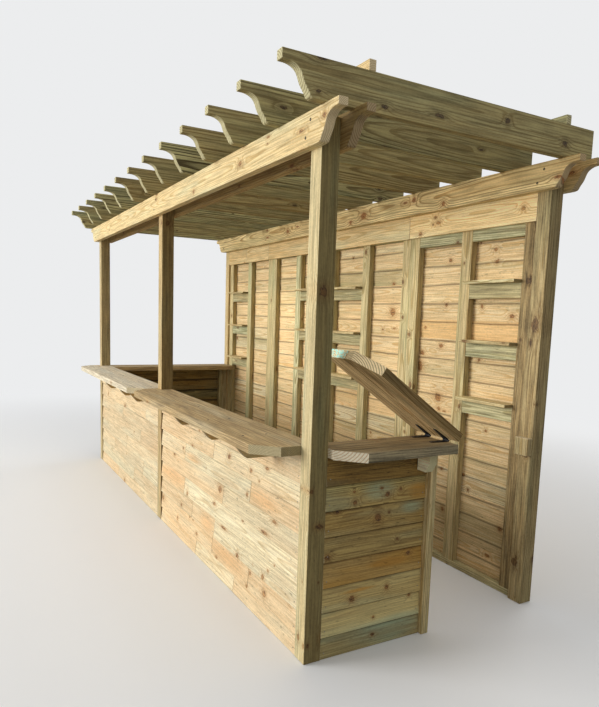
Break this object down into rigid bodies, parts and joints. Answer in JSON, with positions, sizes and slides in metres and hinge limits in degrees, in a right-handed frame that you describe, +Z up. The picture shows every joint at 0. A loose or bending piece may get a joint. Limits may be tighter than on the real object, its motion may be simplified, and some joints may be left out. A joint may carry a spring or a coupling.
{
  "type": "garden bar shelter",
  "caption": "Open timber bar shelter: pergola roof on posts, boarded bar front with worktops, shelved rear wall and a hinged flap across the side entrance.",
  "frame": {"origin": "centre of the footprint at floor level", "axes": "+X along the bar to the customer's right, +Y from the bar front to the rear wall, +Z up"},
  "size_m": [4.895, 1.861, 2.686],
  "materials": {
    "pale_timber": "sawn softwood, straw yellow",
    "rafter_timber": "sawn softwood, weathered green brown",
    "green_timber": "pressure treated softwood, pale green grey",
    "wall_boarding": "lapped softwood boards, warm tan",
    "front_boarding": "lapped softwood boards, cream yellow with knots",
    "side_boarding": "lapped softwood boards, tan and olive in shade",
    "corbel_timber": "sawn softwood",
    "hinge_steel": "black painted steel",
    "worktop_timber": "planed softwood boards, grey tan"
  },
  "bodies": {
    "shelter": {"counter_leg_left": "green_timber", "flap_rest_block": "green_timber", "front_beam_inner": "pale_timber", "front_beam_outer": "pale_timber", "front_cladding_left": "front_boarding", "front_cladding_right": "front_boarding", "front_frame_left": "green_timber", "front_frame_right": "green_timber", "front_post_left": "pale_timber", "front_post_middle": "pale_timber", "front_post_right": "pale_timber", "front_worktop_left": "worktop_timber", "front_worktop_right": "worktop_timber", "hinge_leaf_fixed_1": "hinge_steel", "hinge_leaf_fixed_2": "hinge_steel", "rafter_01": "rafter_timber", "rafter_02": "rafter_timber", "rafter_03": "rafter_timber", "rafter_04": "rafter_timber", "rafter_05": "rafter_timber", "rafter_06": "rafter_timber", "rafter_07": "rafter_timber", "rafter_08": "rafter_timber", "rafter_09": "rafter_timber", "rafter_10": "rafter_timber", "rafter_11": "rafter_timber", "rafter_12": "rafter_timber", "rafter_13": "rafter_timber", "rear_beam_inner": "pale_timber", "rear_beam_outer": "pale_timber", "rear_post_left": "pale_timber", "rear_post_right": "pale_timber", "roof_batten_front": "pale_timber", "roof_batten_rear": "pale_timber", "side_bracket": "green_timber", "side_cladding_left": "side_boarding", "side_cladding_right": "side_boarding", "side_counter_left": "worktop_timber", "side_end_trim": "green_timber", "side_worktop_right": "worktop_timber", "wall_boards": "wall_boarding", "wall_frame_1": "green_timber", "wall_frame_2": "green_timber", "wall_frame_3": "green_timber", "wall_frame_4": "green_timber", "wall_frieze": "pale_timber", "worktop_corbel_1": "corbel_timber", "worktop_corbel_2": "corbel_timber", "worktop_corbel_3": "corbel_timber", "worktop_corbel_4": "corbel_timber", "worktop_corbel_5": "corbel_timber", "worktop_corbel_6": "corbel_timber"},
    "flap": {"bar_flap": "worktop_timber", "hinge_leaf_moving_1": "hinge_steel", "hinge_leaf_moving_2": "hinge_steel"}
  },
  "joints": [
    {"name": "flap_hinge", "type": "hinge", "parent": "shelter", "child": "flap", "pos_m": [2.2775, 0.0595, 1.033], "axis": [-1, 0, 0], "range_deg": [0, 145.5]}
  ]
}
